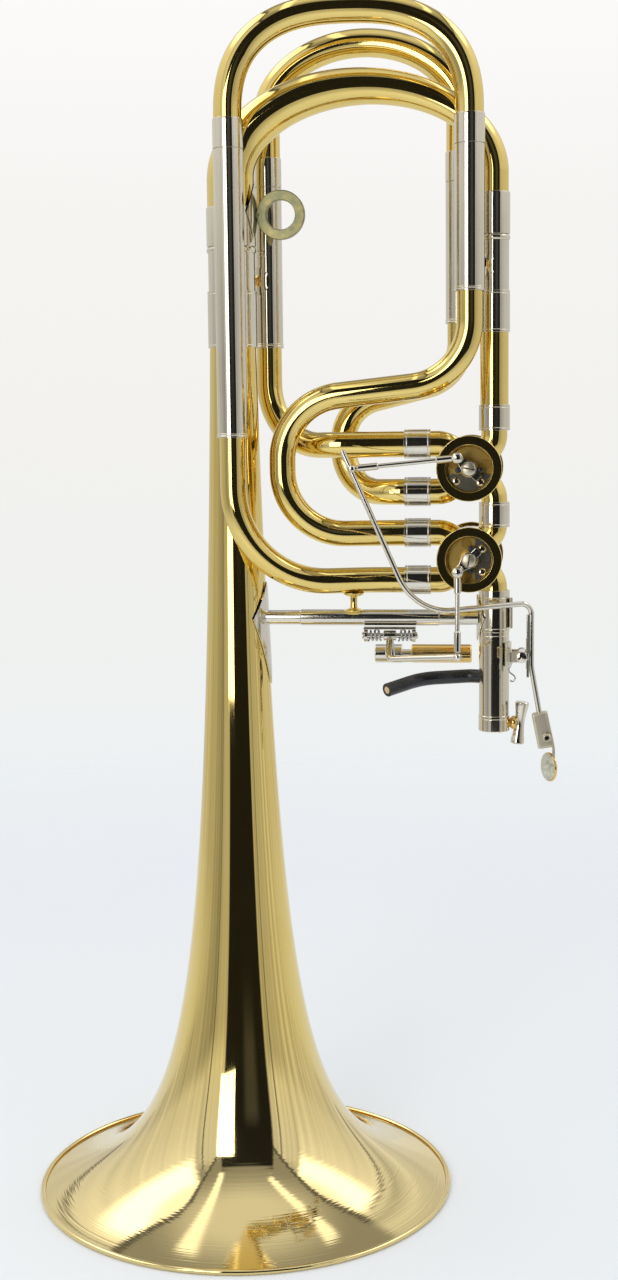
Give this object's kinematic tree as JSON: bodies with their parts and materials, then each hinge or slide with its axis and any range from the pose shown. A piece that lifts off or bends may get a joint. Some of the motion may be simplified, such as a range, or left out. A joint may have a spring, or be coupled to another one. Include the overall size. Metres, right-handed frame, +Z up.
{
  "type": "bass trombone bell section",
  "caption": "Bass trombone bell section: flared bell, tapered main tuning slide, two rotary valves with their loops, levers and slide receiver.",
  "frame": {"origin": "centre of the footprint, on the surface that the bell's rim stands on", "axes": "+Z up along the bell's axis to the bows, +X from the bell to the slide receiver, +Y away from the linkages' side"},
  "size_m": [0.3027, 0.2414, 0.6694],
  "materials": {
    "lacquered_brass": "polished, clear lacquer",
    "nickel_silver": "polished, warm grey",
    "aged_brass": "dull, aged",
    "black_rubber": "smooth, slightly glossy",
    "bare_rod": "bare, satin",
    "pearl_disc": "pearly",
    "spring_steel": "bright"
  },
  "bodies": {
    "instrument": {"bell": "lacquered_brass", "main_outer_large": "nickel_silver", "main_outer_small": "nickel_silver", "front_sleeve_left": "nickel_silver", "front_sleeve_right": "nickel_silver", "rear_sleeve_left": "nickel_silver", "rear_sleeve_right": "nickel_silver", "front_s_tube": "lacquered_brass", "rear_s_tube": "lacquered_brass", "front_return_tube": "lacquered_brass", "rear_return_tube": "lacquered_brass", "front_ferrule_low": "nickel_silver", "front_ferrule_high": "nickel_silver", "rear_ferrule_low": "nickel_silver", "rear_ferrule_high": "nickel_silver", "neckpipe": "lacquered_brass", "neckpipe_ferrule": "nickel_silver", "valve_link_ferrule": "nickel_silver", "upper_valve_bumper_a": "black_rubber", "upper_valve_bumper_b": "black_rubber", "upper_valve_casing": "lacquered_brass", "upper_valve_rear_bearing": "nickel_silver", "upper_valve_rear_cap": "lacquered_brass", "lower_valve_bumper_a": "black_rubber", "lower_valve_bumper_b": "black_rubber", "lower_valve_casing": "lacquered_brass", "lower_valve_rear_bearing": "nickel_silver", "lower_valve_rear_cap": "lacquered_brass", "slide_receiver": "nickel_silver", "main_brace": "nickel_silver", "handrest_rod": "bare_rod", "handrest_sleeve": "black_rubber", "thumb_hinge_saddle": "nickel_silver", "thumb_pivot_screw": "spring_steel", "thumb_spring": "spring_steel", "finger_hinge_bracket": "nickel_silver", "finger_spring_left": "spring_steel", "finger_spring_right": "spring_steel"},
    "main_slide": {"main_bow": "lacquered_brass", "main_leg_large": "nickel_silver", "main_leg_small": "nickel_silver", "main_ornament": "aged_brass"},
    "front_slide": {"front_bow": "lacquered_brass", "front_leg_left": "nickel_silver", "front_leg_right": "nickel_silver"},
    "rear_slide": {"rear_bow": "lacquered_brass", "rear_leg_left": "nickel_silver", "rear_leg_right": "nickel_silver"},
    "upper_rotor": {"upper_valve_rotor": "lacquered_brass", "upper_stop_arm": "nickel_silver"},
    "lower_rotor": {"lower_valve_rotor": "lacquered_brass", "lower_stop_arm": "nickel_silver"},
    "thumb_lever": {"thumb_lever": "nickel_silver", "thumb_block": "nickel_silver", "thumb_paddle": "pearl_disc"},
    "finger_lever": {"finger_lever": "nickel_silver", "finger_grip": "lacquered_brass"},
    "upper_link": {"upper_link": "nickel_silver"},
    "lower_link": {"lower_link": "nickel_silver"},
    "clamp_screw": {"clamp_screw": "nickel_silver"}
  },
  "joints": [
    {"name": "main_slide_pull", "type": "slide", "parent": "instrument", "child": "main_slide", "axis": [0, 0, 1], "range_m": [0, 0.03]},
    {"name": "front_slide_pull", "type": "slide", "parent": "instrument", "child": "front_slide", "axis": [0, 0, 1], "range_m": [0, 0.055]},
    {"name": "rear_slide_pull", "type": "slide", "parent": "instrument", "child": "rear_slide", "axis": [0, 0, 1], "range_m": [0, 0.055]},
    {"name": "upper_rotor_turn", "type": "hinge", "parent": "instrument", "child": "upper_rotor", "pos_m": [0.10122, 0, 0.4186], "axis": [0, 1, 0], "range_deg": [0, 90]},
    {"name": "lower_rotor_turn", "type": "hinge", "parent": "instrument", "child": "lower_rotor", "pos_m": [0.10122, 0, 0.3693], "axis": [0, 1, 0], "range_deg": [0, 90]},
    {"name": "thumb_lever_pivot", "type": "hinge", "parent": "instrument", "child": "thumb_lever", "pos_m": [0.12982, -0.0125, 0.3148], "axis": [0, 1, 0], "range_deg": [0, 6.2], "stiffness_Nm_per_rad": 0.6, "springref_deg": -5.73},
    {"name": "finger_lever_pivot", "type": "hinge", "parent": "instrument", "child": "finger_lever", "pos_m": [0.05633, -0.006, 0.3252], "axis": [-1, 0, 0], "range_deg": [0, 19.7], "stiffness_Nm_per_rad": 0.3, "springref_deg": -11.46},
    {"name": "upper_link_pivot", "type": "hinge", "parent": "thumb_lever", "child": "upper_link", "pos_m": [0.03902, -0.042, 0.4193], "axis": [0, 1, 0], "range_deg": [0, 3.2]},
    {"name": "lower_link_pivot", "type": "hinge", "parent": "finger_lever", "child": "lower_link", "pos_m": [0.09513, -0.04, 0.3174], "axis": [1, 0, 0], "range_deg": [0, 19.7]},
    {"name": "clamp_screw_turn", "type": "hinge", "parent": "instrument", "child": "clamp_screw", "pos_m": [0.12882, 0, 0.2753], "axis": [1, 0, 0], "range_deg": [-28, 28]}
  ],
  "couplings": [
    {"joint": "thumb_lever_pivot", "follows": "upper_rotor_turn", "ratio": 0.06888},
    {"joint": "upper_link_pivot", "follows": "upper_rotor_turn", "ratio": 0.0349},
    {"joint": "finger_lever_pivot", "follows": "lower_rotor_turn", "ratio": 0.21822},
    {"joint": "lower_link_pivot", "follows": "lower_rotor_turn", "ratio": 0.21822}
  ]
}
